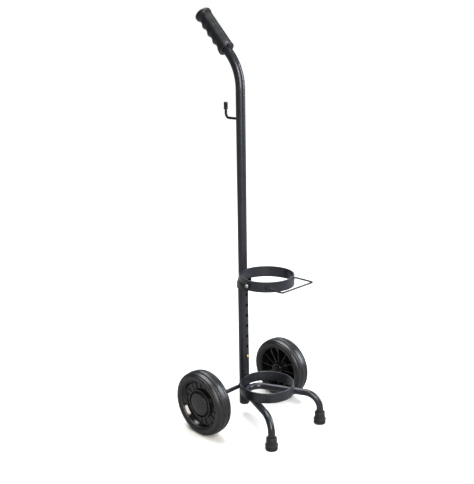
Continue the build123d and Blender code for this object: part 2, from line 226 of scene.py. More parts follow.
class Tree(Graph):
    """A Geometry Nodes tree."""

    def __init__(self, name: str) -> None:
        """Makes an empty tree with a geometry input and output.

        Args:
            name: The tree's name.
        """
        super().__init__(bpy.data.node_groups.new(name, "GeometryNodeTree"))
        for way in ("INPUT", "OUTPUT"):
            self.tree.interface.new_socket(name="Geometry", in_out=way, socket_type="NodeSocketGeometry")
        self.inputs = self.node("NodeGroupInput")

    def size(self, name: str, kind: str = "Float") -> bpy.types.NodeSocket:
        """Adds a named input.

        Args:
            name: The input's name.
            kind: The socket's kind, such as Float, Int or Material.

        Returns:
            The socket that carries the input inside the tree.
        """
        self.tree.interface.new_socket(name=name, in_out="INPUT", socket_type=f"NodeSocket{kind}")
        return self.inputs.outputs[name]

    def finish(self, geometry: bpy.types.NodeSocket, material: bpy.types.NodeSocket) -> bpy.types.NodeTree:
        """Realizes the instances, sets the material and closes the tree.

        Args:
            geometry: The geometry to end with.
            material: The material input.

        Returns:
            The finished tree.
        """
        real = self.node("GeometryNodeRealizeInstances", {0: geometry})
        smooth = self.node("GeometryNodeSetShadeSmooth", {0: real.outputs[0]})
        dressed = self.node("GeometryNodeSetMaterial", {0: smooth.outputs[0], "Material": material})
        self.node("NodeGroupOutput", {0: dressed.outputs[0]})
        return self.tree


def turning_tree() -> bpy.types.NodeTree:
    """A tree that turns an outline about Z: X of the outline goes along Z, and Y away from it.

    Returns:
        The tree, with the inputs Segments, Merge distance and Material.
    """
    tree = Tree("turned piece")
    segments = tree.size("Segments", "Int")
    merge = tree.size("Merge distance")
    material = tree.size("Material", "Material")
    outline = tree.inputs.outputs["Geometry"]
    count = tree.node("GeometryNodeAttributeDomainSize", {0: outline}).outputs["Point Count"]
    columns = tree.math("ADD", segments, 1.0)
    grid = tree.node("GeometryNodeMeshGrid", {"Vertices X": count, "Vertices Y": columns}).outputs["Mesh"]
    index = tree.node("GeometryNodeInputIndex").outputs[0]
    row = tree.math("FLOOR", tree.math("DIVIDE", index, columns))
    column = tree.math("MODULO", index, columns)
    angle = tree.math("MULTIPLY", column, tree.math("DIVIDE", math.tau, segments))
    position = tree.node("GeometryNodeInputPosition").outputs[0]
    sampled = tree.node(
        "GeometryNodeSampleIndex", {0: outline, "Value": position, "Index": row}, data_type="FLOAT_VECTOR"
    )
    parts = tree.node("ShaderNodeSeparateXYZ", {0: sampled.outputs[0]})
    along, radius = parts.outputs[0], parts.outputs[1]
    x = tree.math("MULTIPLY", radius, tree.math("COSINE", angle))
    y = tree.math("MULTIPLY", radius, tree.math("SINE", angle))
    place = tree.node("ShaderNodeCombineXYZ", {0: x, 1: y, 2: along}).outputs[0]
    turned = tree.node("GeometryNodeSetPosition", {0: grid, "Position": place}).outputs[0]
    joined = tree.node("GeometryNodeMergeByDistance", {0: turned, "Distance": merge}).outputs[0]
    return tree.finish(joined, material)


def rib_tree() -> bpy.types.NodeTree:
    """A tree that sets straight ribs with rounded edges round Z, like the spokes of a wheel.

    Returns:
        The tree, with the inputs Count, Inner radius, Outer radius, Thickness, Height, Rounding and Material.
    """
    tree = Tree("radial ribs")
    count = tree.size("Count", "Int")
    inner = tree.size("Inner radius")
    outer = tree.size("Outer radius")
    thickness = tree.size("Thickness")
    height = tree.size("Height")
    rounding = tree.size("Rounding")
    material = tree.size("Material", "Material")
    start = tree.node("ShaderNodeCombineXYZ", {0: inner}).outputs[0]
    end = tree.node("ShaderNodeCombineXYZ", {0: outer}).outputs[0]
    line = tree.node("GeometryNodeCurvePrimitiveLine", {"Start": start, "End": end}).outputs[0]
    section = tree.node("GeometryNodeCurvePrimitiveQuadrilateral", {"Width": thickness, "Height": height})
    soft = tree.node(
        "GeometryNodeFilletCurve", {0: section.outputs[0], "Radius": rounding, "Count": 3}, mode="POLY"
    )
    rib = tree.node("GeometryNodeCurveToMesh", {0: line, 1: soft.outputs[0], "Fill Caps": True}).outputs[0]
    points = tree.node("GeometryNodePoints", {"Count": count}).outputs[0]
    index = tree.node("GeometryNodeInputIndex").outputs[0]
    turn = tree.math("MULTIPLY", index, tree.math("DIVIDE", math.tau, count))
    rotation = tree.node("ShaderNodeCombineXYZ", {2: turn}).outputs[0]
    inputs = {"Points": points, "Instance": rib, "Rotation": rotation}
    ribs = tree.node("GeometryNodeInstanceOnPoints", inputs)
    return tree.finish(ribs.outputs[0], material)


def weld_tree() -> bpy.types.NodeTree:
    """A tree that lays a weld's overlapping ripples along the edges that it is given.

    Returns:
        The tree, with the inputs Bead radius, Ripple spacing, Unevenness, Seed and Material.
    """
    tree = Tree("weld bead")
    radius = tree.size("Bead radius")
    spacing = tree.size("Ripple spacing")
    uneven = tree.size("Unevenness")
    seed = tree.size("Seed", "Int")
    material = tree.size("Material", "Material")
    path = tree.node("GeometryNodeMeshToCurve", {0: tree.inputs.outputs["Geometry"]}).outputs[0]
    points = tree.node("GeometryNodeResampleCurve", {0: path, "Length": spacing}, mode="LENGTH").outputs[0]
    ripple = tree.node("GeometryNodeMeshIcoSphere", {"Radius": radius, "Subdivisions": 3}).outputs[0]
    low, high = tree.math("SUBTRACT", 1.0, uneven), tree.math("ADD", 1.0, uneven)
    scale = tree.node("FunctionNodeRandomValue", {2: low, 3: high, "Seed": seed}, data_type="FLOAT")
    ripples = tree.node(
        "GeometryNodeInstanceOnPoints", {"Points": points, "Instance": ripple, "Scale": scale.outputs[1]}
    )
    return tree.finish(ripples.outputs[0], material)


def grown(tree: bpy.types.NodeTree, seedling: bpy.types.Mesh, sizes: dict[str, object]) -> bpy.types.Mesh:
    """Runs a Geometry Nodes tree on a mesh.

    Args:
        tree: The tree.
        seedling: The mesh that it starts from.
        sizes: The value of each of its named inputs.

    Returns:
        The result as a plain mesh.
    """
    carrier = bpy.data.objects.new("carrier", seedling)
    bpy.context.scene.collection.objects.link(carrier)
    modifier = carrier.modifiers.new("tree", "NODES")
    modifier.node_group = tree
    for item in tree.interface.items_tree:
        if item.name in sizes:
            modifier[item.identifier] = sizes[item.name]
    evaluated = carrier.evaluated_get(bpy.context.evaluated_depsgraph_get())
    mesh = bpy.data.meshes.new_from_object(evaluated, depsgraph=bpy.context.evaluated_depsgraph_get())
    carrier.modifiers.remove(modifier)
    bpy.data.objects.remove(carrier)
    bpy.data.meshes.remove(seedling)
    return mesh


def chain_mesh(points: Iterable[Iterable[float]], closed: bool = False) -> bpy.types.Mesh:
    """A mesh of points joined one to the next by edges.

    Args:
        points: The points in order.
        closed: Whether an edge joins the last to the first.

    Returns:
        The mesh.
    """
    listed = [tuple(point) for point in points]
    edges = [(index, index + 1) for index in range(len(listed) - 1)]
    if closed:
        edges.append((len(listed) - 1, 0))
    mesh = bpy.data.meshes.new("chain")
    mesh.from_pydata(listed, edges, [])
    return mesh


# ---- Finishes ----


class Nodes(Graph):
    """The nodes of a material under construction."""

    def __init__(self, name: str) -> None:
        """Makes a material with a Principled shader and Object coordinates.

        Args:
            name: The material's name.
        """
        self.material = bpy.data.materials.new(name)
        self.material.use_nodes = True
        super().__init__(self.material.node_tree)
        self.shader = self.tree.nodes["Principled BSDF"]
        self.place = self.node("ShaderNodeTexCoord").outputs["Object"]

    def noise(self, scale: float, detail: float = 3.0, roughness: float = 0.55,
              stretch: Colour = (1.0, 1.0, 1.0)) -> bpy.types.NodeSocket:
        """Noise on Object coordinates.

        Args:
            scale: How many features there are to a metre.
            detail: How many finer layers it has.
            roughness: How strong the finer layers are.
            stretch: The scale along each axis.

        Returns:
            The noise's value, about 0.5 on average.
        """
        place = self.node("ShaderNodeMapping", {"Vector": self.place, "Scale": stretch}).outputs[0]
        inputs = {"Vector": place, "Scale": scale, "Detail": detail, "Roughness": roughness}
        return self.node("ShaderNodeTexNoise", inputs).outputs[0]

    def between(self, value: bpy.types.NodeSocket, low: float, high: float, start: float = 0.3,
                end: float = 0.7) -> bpy.types.NodeSocket:
        """Maps a value from start..end to low..high, held at both ends."""
        inputs = {"Value": value, "From Min": start, "From Max": end, "To Min": low, "To Max": high}
        return self.node("ShaderNodeMapRange", inputs).outputs[0]

    def blend(self, factor: bpy.types.NodeSocket, first: object, second: object) -> bpy.types.NodeSocket:
        """Mixes two colours, each a socket or red, green and blue."""
        made = self.node("ShaderNodeMix", {0: factor}, data_type="RGBA")
        for socket, value in ((6, first), (7, second)):
            self.fill(made.inputs[socket], (*value, 1.0) if isinstance(value, tuple) else value)
        return made.outputs[2]

@dataclass(frozen=True)
class Finish:
    """A finish: its colours, gloss and fine relief.

    A size is metres, and a depth is how far the relief stands up. A stripe below the height dark_below,
    in front of dark_before and dark_half to each side is painted matt and dark: painted shade that stands for
    the shadow seen through the base tube's holes.
    """

    name: str
    slot: str
    colour: Colour
    other_colour: Colour
    roughness: float
    roughness_spread: float
    grain: Grain
    grain_size: float
    grain_depth: float
    mottle_size: float = 0.03
    metallic: float = 0.0
    coat: float = 0.0
    coat_roughness: float = 0.1
    specular: float = 0.5
    speckle: float = 0.0
    dark_below: float = 0.0
    dark_before: float = 0.0
    dark_half: float = 0.0
    wear: float = 0.0
    wear_colour: Colour = (0.25, 0.25, 0.26)

    def relief(self, nodes: Nodes) -> bpy.types.NodeSocket:
        """The height of the fine relief.

        Args:
            nodes: The material under construction.

        Returns:
            A height from 0 to 1.
        """
        scale = 1 / self.grain_size
        if self.grain is Grain.PEEL:
            inputs = {"Vector": nodes.place, "Scale": scale, "Smoothness": 0.8}
            dimples = nodes.node("ShaderNodeTexVoronoi", inputs, feature="SMOOTH_F1").outputs[0]
            return nodes.math("ADD", dimples, nodes.math("MULTIPLY", nodes.noise(scale * 2.3, 2.0), 0.6))
        if self.grain is Grain.BRUSHED:
            return nodes.noise(scale, 4.0, 0.7, (0.06, 1.0, 1.0))
        if self.grain is Grain.SMOOTH:
            return nodes.noise(scale, 1.0, 0.4)
        return nodes.noise(scale, 6.0, 0.75)

    def stripe(self, nodes: Nodes) -> bpy.types.NodeSocket:
        """Where the dark stripe is: painted shade on the pole behind the base tube's holes, standing for the
        shadow seen in them.

        Args:
            nodes: The material under construction.

        Returns:
            One on the stripe and nought elsewhere.
        """
        place = nodes.node("ShaderNodeSeparateXYZ", {"Vector": nodes.place}).outputs
        below = nodes.math("LESS_THAN", place["Z"], self.dark_below)
        before = nodes.math("LESS_THAN", place["Y"], self.dark_before)
        within = nodes.math("LESS_THAN", nodes.math("ABSOLUTE", place["X"]), self.dark_half)
        return nodes.math("MULTIPLY", nodes.math("MULTIPLY", below, before), within)

    def material(self) -> bpy.types.Material:
        """The finish as a material, made once.

        Returns:
            The material.
        """
        known = bpy.data.materials.get(self.name)
        if known:
            return known
        nodes = Nodes(self.name)
        mottle = nodes.noise(1 / self.mottle_size, 4.0, 0.6)
        colour = nodes.blend(nodes.between(mottle, 0.0, 1.0), self.colour, self.other_colour)
        cloud = nodes.noise(2.7 / self.mottle_size, 5.0, 0.65)
        low, high = self.roughness - self.roughness_spread, self.roughness + self.roughness_spread
        roughness = nodes.between(cloud, low, high)
        if self.speckle:
            grains = nodes.between(nodes.noise(1.4 / self.grain_size, 2.0, 0.5), 0.0, self.speckle, 0.5, 0.72)
            bright = tuple(min(1.0, channel * 3 + 0.03) for channel in self.colour)
            colour = nodes.blend(grains, colour, bright)
        if self.wear:
            scuffs = nodes.noise(14 / self.mottle_size, 8.0, 0.75, (1.0, 1.0, 0.35))
            rubbed = nodes.between(scuffs, 0.0, self.wear, 0.62, 0.74)
            colour = nodes.blend(rubbed, colour, self.wear_colour)
            roughness = nodes.math("ADD", roughness, nodes.math("MULTIPLY", rubbed, 0.3))
        specular: object = self.specular
        coat: object = self.coat
        # Painted shade: the stripe behind the base tube's holes is darkened and dulled to stand for the
        # shadow seen through them.
        if self.dark_below:
            dark = self.stripe(nodes)
            colour = nodes.blend(dark, colour, HOLE_SHADE_COLOUR)
            roughness = nodes.math("MAXIMUM", roughness, nodes.math("MULTIPLY", dark, 0.8))
            gloss = nodes.math("SUBTRACT", 1.0, nodes.math("MULTIPLY", dark, 0.9))
            specular = nodes.math("MULTIPLY", gloss, self.specular)
            coat = nodes.math("MULTIPLY", gloss, self.coat)
        inputs = {"Strength": 1.0, "Distance": self.grain_depth, "Height": self.relief(nodes)}
        values = {
            "Base Color": colour, "Roughness": roughness, "Metallic": self.metallic,
            "Normal": nodes.node("ShaderNodeBump", inputs).outputs[0],
            "Specular IOR Level": specular, "Coat Weight": coat, "Coat Roughness": self.coat_roughness,
        }
        for socket, value in values.items():
            nodes.fill(nodes.shader.inputs[socket], value)
        return nodes.material


FRAME_COAT = Finish(
    "charcoal powder coat", "frame_coating", (0.009, 0.011, 0.017), (0.017, 0.020, 0.028), 0.34, 0.05,
    Grain.PEEL, 0.0014, 0.00009, metallic=0.35, coat=0.35, coat_roughness=0.24, speckle=0.5,
)
# The upper pole's coat, with painted shade on the stripe behind the base tube's holes.
POLE_COAT = replace(FRAME_COAT, name="charcoal coat with a dark stripe", dark_below=0.335,
                    dark_before=Span.of("base_tube").middle.y, dark_half=0.0045)
BRACKET_COAT = Finish(
    "black bracket coat", "bracket_coating", (0.006, 0.006, 0.007), (0.012, 0.012, 0.014), 0.4, 0.05,
    Grain.PEEL, 0.0011, 0.00004, specular=0.25, speckle=0.15,
)
WIRE_COAT = Finish(
    "charcoal wire coat", "wire_coating", (0.006, 0.007, 0.010), (0.012, 0.013, 0.017), 0.3, 0.05,
    Grain.PEEL, 0.0009, 0.00003, metallic=0.3, specular=0.4,
)
AXLE_COAT = Finish(
    "charcoal axle coat", "axle_steel", (0.016, 0.017, 0.021), (0.028, 0.029, 0.034), 0.38, 0.06,
    Grain.PEEL, 0.0012, 0.00005, metallic=0.35, coat=0.2,
)
ZINC = Finish(
    "bright zinc plate", "zinc", (0.62, 0.64, 0.66), (0.74, 0.73, 0.68), 0.24, 0.08,
    Grain.BRUSHED, 0.0008, 0.00001, mottle_size=0.006, metallic=1.0,
)
BLACK_ZINC = Finish(
    "black zinc plate", "zinc", (0.012, 0.012, 0.013), (0.022, 0.022, 0.024), 0.34, 0.08,
    Grain.BRUSHED, 0.0008, 0.00001, mottle_size=0.006, metallic=0.5,
)
SPRING_STEEL = Finish(
    "oiled spring steel", "spring_steel", (0.18, 0.18, 0.19), (0.26, 0.25, 0.24), 0.32, 0.06,
    Grain.BRUSHED, 0.0006, 0.00001, mottle_size=0.008, metallic=1.0,
)
BRASS = Finish(
    "turned brass", "brass", (0.72, 0.44, 0.14), (0.82, 0.56, 0.24), 0.26, 0.07,
    Grain.BRUSHED, 0.0005, 0.00001, mottle_size=0.004, metallic=1.0,
)
TYRE_RUBBER = Finish(
    "grey tyre rubber", "tyre_rubber", (0.007, 0.008, 0.011), (0.013, 0.014, 0.018), 0.33, 0.05,
    Grain.SPARK, 0.0011, 0.00002, mottle_size=0.02, specular=0.6, wear=0.12, wear_colour=(0.05, 0.05, 0.05),
)
HUB_PLASTIC = Finish(
    "glossy black hub", "hub_plastic", (0.003, 0.003, 0.0035), (0.005, 0.005, 0.006), 0.14, 0.04,
    Grain.SMOOTH, 0.012, 0.00005, specular=0.6,
)
CAP_PLASTIC = Finish(
    "satin hub cap", "cap_plastic", (0.010, 0.010, 0.013), (0.015, 0.015, 0.019), 0.24, 0.04,
    Grain.SPARK, 0.0007, 0.000006, specular=0.6,
)
PLUG_PLASTIC = Finish(
    "matt black plug", "plug_plastic", (0.010, 0.010, 0.011), (0.016, 0.016, 0.017), 0.5, 0.06,
    Grain.SPARK, 0.0009, 0.00002,
)
NYLON = Finish(
    "natural nylon", "glide_plastic", (0.62, 0.61, 0.57), (0.70, 0.69, 0.65), 0.45, 0.05,
    Grain.SPARK, 0.0009, 0.00001,
)
TIP_RUBBER = Finish(
    "matt foot rubber", "tip_rubber", (0.007, 0.007, 0.009), (0.013, 0.013, 0.015), 0.5, 0.07,
    Grain.SPARK, 0.0008, 0.00004, mottle_size=0.01, wear=0.2, wear_colour=(0.06, 0.06, 0.058),
)
GRIP_PLASTIC = Finish(
    "satin grip", "grip_plastic", (0.006, 0.007, 0.010), (0.011, 0.012, 0.016), 0.34, 0.05,
    Grain.SPARK, 0.0007, 0.00003, mottle_size=0.015,
)
HOOK_VINYL = Finish(
    "glossy vinyl cap", "hook_cap_plastic", (0.004, 0.004, 0.005), (0.008, 0.008, 0.009), 0.16, 0.04,
    Grain.SMOOTH, 0.004, 0.00002, specular=0.6,
)


# ---- Workshop ----


class Workshop:
    """Makes pieces from outlines, paths and CAD copies, and sets them on their bodies."""

    def __init__(self) -> None:
        """Builds the three Geometry Nodes trees that the pieces share."""
        self.turning = turning_tree()
        self.ribbing = rib_tree()
        self.welding = weld_tree()

    def turned(self, corners: Iterable[Corner], finish: Finish, segments: int = 96,
               closed: bool = False) -> bpy.types.Mesh:
        """Turns an outline about Z.

        Args:
            corners: The outline's corners; an open outline starts and ends on the axis.
            finish: What the piece is finished in.
            segments: How many steps the turn has.
            closed: Whether the outline is a loop away from the axis.

        Returns:
            The turned mesh.
        """
        points = [(along, radius, 0.0) for along, radius in rounded_outline(corners, closed)]
        sizes = {"Segments": segments, "Merge distance": JOIN_DISTANCE, "Material": finish.material()}
        return grown(self.turning, chain_mesh(points), sizes)

    def ribs(self, count: int, radii: tuple[float, float], thickness: float, height: float,
             finish: Finish) -> bpy.types.Mesh:
        """Sets straight ribs round Z, centred on the plane Z = 0.

        Args:
            count: How many ribs there are.
            radii: Where each rib starts and ends.
            thickness: How thick a rib is.
            height: How tall a rib is along Z.
            finish: What the ribs are finished in.

        Returns:
            The ribs as one mesh.
        """
        sizes = {
            "Count": count, "Inner radius": radii[0], "Outer radius": radii[1], "Thickness": thickness,
            "Height": height, "Rounding": 0.3 * thickness, "Material": finish.material(),
        }
        return grown(self.ribbing, chain_mesh([(0, 0, 0)]), sizes)

    def weld(self, path: Iterable[Iterable[float]], radius: float, seed: int,
             closed: bool = False) -> bpy.types.Mesh:
        """Lays a weld bead along a path.

        Args:
            path: The path's points.
            radius: The bead's radius.
            seed: The seed of its unevenness.
            closed: Whether the path is a loop.

        Returns:
            The bead.
        """
        sizes = {
            "Bead radius": radius, "Ripple spacing": 0.5 * radius, "Unevenness": 0.08, "Seed": seed,
            "Material": FRAME_COAT.material(),
        }
        return grown(self.welding, chain_mesh(path, closed), sizes)

    def softened(self, node: str, finish: Finish, width: float) -> bpy.types.Mesh:
        """Copies a CAD node's mesh and breaks its sharp edges.

        Args:
            node: The CAD node.
            finish: What the piece is finished in.
            width: How wide the broken edge is.

        Returns:
            The copy, with its edges bevelled.
        """
        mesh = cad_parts[node].data.copy()
        made = bmesh.new()
        made.from_mesh(mesh)
        bmesh.ops.remove_doubles(made, verts=made.verts, dist=JOIN_DISTANCE)
        bmesh.ops.dissolve_limit(made, angle_limit=math.radians(0.5), verts=made.verts, edges=made.edges)
        made.to_mesh(mesh)
        made.free()
        carrier = bpy.data.objects.new("carrier", mesh)
        bpy.context.scene.collection.objects.link(carrier)
        bevel = carrier.modifiers.new("broken edge", "BEVEL")
        bevel.width = width
        bevel.segments = 2
        bevel.limit_method = "ANGLE"
        bevel.angle_limit = math.radians(40)
        bevel.harden_normals = False
        evaluated = carrier.evaluated_get(bpy.context.evaluated_depsgraph_get())
        soft = bpy.data.meshes.new_from_object(evaluated)
        bpy.data.objects.remove(carrier)
        soft.materials.clear()
        soft.materials.append(finish.material())
        return soft

    def piece(self, name: str, meshes: Iterable[bpy.types.Mesh], body: str, finish: Finish,
              replaces: Iterable[str] = ()) -> bpy.types.Object:
        """Joins meshes into one piece at the origin and sets it on its body.

        Args:
            name: The piece's name.
            meshes: The meshes, already in place.
            body: The CAD body that it rides on.
            finish: The finish whose slot it takes.
            replaces: The CAD nodes that it stands for.

        Returns:
            The piece.
        """
        made = bmesh.new()
        for mesh in meshes:
            made.from_mesh(mesh)
            bpy.data.meshes.remove(mesh)
        bmesh.ops.recalc_face_normals(made, faces=made.faces)
        joined = bpy.data.meshes.new(name)
        made.to_mesh(joined)
        made.free()
        joined.materials.append(finish.material())
        joined.polygons.foreach_set("use_smooth", [True] * len(joined.polygons))
        joined.set_sharp_from_angle(angle=SHARP_EDGE)
        piece = bpy.data.objects.new(name, joined)
        bpy.context.scene.collection.objects.link(piece)
        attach(piece, body)
        if replaces:
            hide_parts(*replaces)
        LOG.info("%s: %d faces on %s", name, len(joined.polygons), body)
        return piece

    def dress(self, nodes: Iterable[str], finish: Finish) -> None:
        """Gives CAD nodes a finish.

        Args:
            nodes: The nodes.
            finish: Their finish.
        """
        for node in nodes:
            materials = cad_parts[node].data.materials
            materials.clear()
            materials.append(finish.material())
            LOG.info("%s: dressed in %s", node, finish.name)


def placed(mesh: bpy.types.Mesh, place: Matrix) -> bpy.types.Mesh:
    """The same mesh, moved by a matrix."""
    mesh.transform(place)
    return mesh


def reshaped(mesh: bpy.types.Mesh, rule: Callable[[Vector], Vector]) -> bpy.types.Mesh:
    """The same mesh, with each point where the rule puts it."""
    for vertex in mesh.vertices:
        vertex.co = rule(vertex.co.copy())
    return mesh


def along_axle(middle: Vector, side: Side) -> Matrix:
    """The matrix that takes Z to the outward direction of a wheel, at a point on its axle."""
    return Matrix.Translation(middle) @ Matrix.Rotation(side.value * math.pi / 2, 4, "Y")


# ---- Wheels ----


@dataclass
class Wheel:
    """One wheel: a solid rubber tyre on a ribbed plastic hub with a domed cap."""

    shop: Workshop
    side: Side
    tread_groove_place: float = 6.7 * MM
    tread_groove_width: float = 1.5 * MM
    tread_groove_depth: float = 2.3 * MM
    tread_drop: float = 2.9 * MM
    tread_half: float = 16.4 * MM
    bead_half: float = 14.5 * MM
    web_inner: float = 3.0 * MM
    web_outer: float = 7.0 * MM
    rim_wall: float = 5.5 * MM
    rim_lip: float = 2.0 * MM
    boss_radius: float = 14.0 * MM
    bore_radius: float = 7.1 * MM
    seat_radius: float = 26.3 * MM
    ring_radius: float = 33.0 * MM
    ring_face: float = 13.0 * MM
    draft: float = 1.5 * MM
    face_ribs: int = 18
    cavity_ribs: int = 12
    face_rib_thickness: float = 0.7 * MM
    face_rib_height: float = 1.7 * MM
    cavity_rib_thickness: float = 2.2 * MM
    cavity_rib_height: float = 15.0 * MM
    rib_sink: float = 0.8 * MM

    def __post_init__(self) -> None:
        """Reads the wheel's place and main sizes from the frame."""
        tyre, hub, cap = (Span.of(self.side.named(node)) for node in ("tyre", "wheel_hub", "hub_cap"))
        self.body = self.side.named("wheel")
        self.middle = tyre.middle
        self.radius = tyre.size.z / 2
        self.half_width = tyre.size.x / 2
        self.rim_radius = hub.size.z / 2
        self.boss_face = (hub.low if self.side is Side.RIGHT else hub.high).x - self.middle.x
        self.boss_face *= self.side.value
        ends = ((end.x - self.middle.x) * self.side.value for end in (cap.low, cap.high))
        self.cap_seat, self.cap_crown = sorted(ends)
        self.place = along_axle(self.middle, self.side)

    def tread_radius(self, across: float) -> float:
        """The tyre's radius at a place across its tread: three ribs with two round grooves between them.

        Args:
            across: The distance from the tyre's middle.

        Returns:
            The radius there.
        """
        drop = self.tread_drop * abs(across / self.tread_half) ** 3
        groove = sum(
            math.exp(-((across - sign * self.tread_groove_place) / self.tread_groove_width) ** 2)
            for sign in (-1, 1)
        )
        return self.radius - drop - self.tread_groove_depth * groove

    def tyre(self) -> bpy.types.Object:
        """The tyre, with a bead, a rounded flank, a shoulder line and a ribbed tread.

        Returns:
            The tyre.
        """
        rim, half = self.rim_radius + 0.05 * MM, self.half_width
        shoulder = self.radius - self.tread_drop
        flank = [
            Corner(self.bead_half, rim, 0.4 * MM),
            Corner(half - 3.4 * MM, rim + 0.9 * MM, 0.8 * MM),
            Corner(half - 1.3 * MM, rim + 3.2 * MM, 1.6 * MM),
            Corner(half, rim + 6.4 * MM, 5 * MM),
            Corner(half, shoulder - 6.2 * MM, 4 * MM),
            Corner(half - 1.1 * MM, shoulder - 3.6 * MM, 1.0 * MM),
            Corner(half - 2.9 * MM, shoulder - 2.9 * MM, 0.6 * MM),
            Corner(half - 2.9 * MM, shoulder - 1.9 * MM, 0.6 * MM),
            Corner(half - 2.4 * MM, shoulder - 1.2 * MM, 0.6 * MM),
        ]
        steps = 56
        tread = []
        for step in range(steps + 1):
            across = self.tread_half * (1 - 2 * step / steps)
            tread.append(Corner(across, self.tread_radius(across)))
        mirrored = [Corner(-corner.along, corner.radius, corner.rounding) for corner in reversed(flank)]
        mesh = self.shop.turned([*flank, *tread, *mirrored], TYRE_RUBBER, 160, closed=True)
        name = self.side.named("tyre_body")
        replaced = [self.side.named("tyre")]
        return self.shop.piece(name, [placed(mesh, self.place)], self.body, TYRE_RUBBER, replaced)

    def hub(self) -> bpy.types.Object:
        """The hub: a rim, a web with ribs on both faces, a boss and the cap's raised seat.

        Returns:
            The hub.
        """
        rim_inner = self.rim_radius - self.rim_wall
        small, tiny = 0.8 * MM, 0.4 * MM
        spigot = self.seat_radius - 1.4 * MM
        shell = [
            Corner(self.boss_face, self.bore_radius, tiny),
            Corner(self.boss_face, self.boss_radius, small),
            Corner(self.web_inner, self.boss_radius + self.draft, 2 * small),
            Corner(self.web_inner, rim_inner - self.draft, 2 * small),
            Corner(-self.bead_half, self.rim_radius - self.rim_lip, tiny),
            Corner(-self.bead_half, self.rim_radius, tiny),
            Corner(self.bead_half, self.rim_radius, tiny),
            Corner(self.bead_half, self.rim_radius - self.rim_lip, tiny),
            Corner(self.web_outer + self.draft, rim_inner, 2 * small),
            Corner(self.web_outer, rim_inner - self.draft, small),
            Corner(self.web_outer, self.ring_radius + 2.3 * MM, small),
            Corner(self.ring_face, self.ring_radius + 1.3 * MM, tiny),
            Corner(self.ring_face, self.ring_radius - 1.3 * MM, tiny),
            Corner(self.web_outer + MM, self.seat_radius + 2 * self.draft, small),
            Corner(self.cap_seat, self.seat_radius, tiny),
            Corner(self.cap_seat, spigot, tiny),
            Corner(self.cap_seat, self.bore_radius, tiny),
        ]
        hub = self.shop.turned(shell, HUB_PLASTIC, 144, closed=True)
        sunk = self.rib_sink
        face_height = self.face_rib_height + sunk
        radii = (self.ring_radius, rim_inner + sunk)
        face = self.shop.ribs(self.face_ribs, radii, self.face_rib_thickness, face_height, HUB_PLASTIC)
        placed(face, Matrix.Translation((0, 0, self.web_outer - sunk + face_height / 2)))
        cavity_height = self.cavity_rib_height + sunk
        radii = (self.boss_radius - sunk, rim_inner + sunk)
        thickness = self.cavity_rib_thickness
        cavity = self.shop.ribs(self.cavity_ribs, radii, thickness, cavity_height, HUB_PLASTIC)
        placed(cavity, Matrix.Translation((0, 0, self.web_inner + sunk - cavity_height / 2)))
        meshes = [placed(mesh, self.place) for mesh in (hub, face, cavity)]
        return self.shop.piece(
            self.side.named("hub_body"), meshes, self.body, HUB_PLASTIC, [self.side.named("wheel_hub")]
        )

    def cap(self) -> bpy.types.Object:
        """The cap: a satin dome with a rounded rim and a fine step round its crown.

        Returns:
            The cap.
        """
        rise = self.cap_crown - self.cap_seat
        rim = self.seat_radius
        dome = 2.6 * MM
        steps = 14
        crown = []
        for step in range(steps + 1):
            radius = (rim - 1.6 * MM) * (1 - step / steps)
            along = self.cap_crown - dome * (radius / rim) ** 2
            crown.append(Corner(along, radius))
        inside = self.cap_crown - dome - 1.4 * MM
        outline = [
            Corner(inside, 0.0),
            Corner(inside, rim - 1.4 * MM, 0.4 * MM),
            Corner(self.cap_seat, rim - 1.4 * MM, 0.2 * MM),
            Corner(self.cap_seat, rim, 0.3 * MM),
            Corner(self.cap_seat + 0.55 * rise, rim, 1.2 * MM),
            *crown,
        ]
        mesh = self.shop.turned(outline, CAP_PLASTIC, 128)
        name = self.side.named("hub_cap_dome")
        return self.shop.piece(
            name, [placed(mesh, self.place)], self.body, CAP_PLASTIC, [self.side.named("hub_cap")]
        )

    def build(self) -> None:
        """Makes every piece of the wheel."""
        self.tyre()
        self.hub()
        self.cap()
        self.shop.dress([self.side.named("hub_bushing")], NYLON)


# ---- Rings, legs and what is welded to them ----


@dataclass
class CylinderRing:
    """One of the two flat-bar rings that hold the cylinder."""

    shop: Workshop
    node: str
    wall: float = 3.0 * MM
    edge: float = 0.7 * MM

    def build(self) -> bpy.types.Object:
        """The ring, with rounded edges.

        Returns:
            The ring.
        """
        span = Span.of(self.node)
        outer, half = span.size.x / 2, span.size.z / 2
        middle = span.middle
        corners = [
            Corner(-half, outer - self.wall, self.edge),
            Corner(half, outer - self.wall, self.edge),
            Corner(half, outer, self.edge),
            Corner(-half, outer, self.edge),
        ]
        mesh = self.shop.turned(corners, FRAME_COAT, 144, closed=True)
        placed(mesh, Matrix.Translation(middle))
        return self.shop.piece(f"{self.node}_band", [mesh], "frame", FRAME_COAT, [self.node])


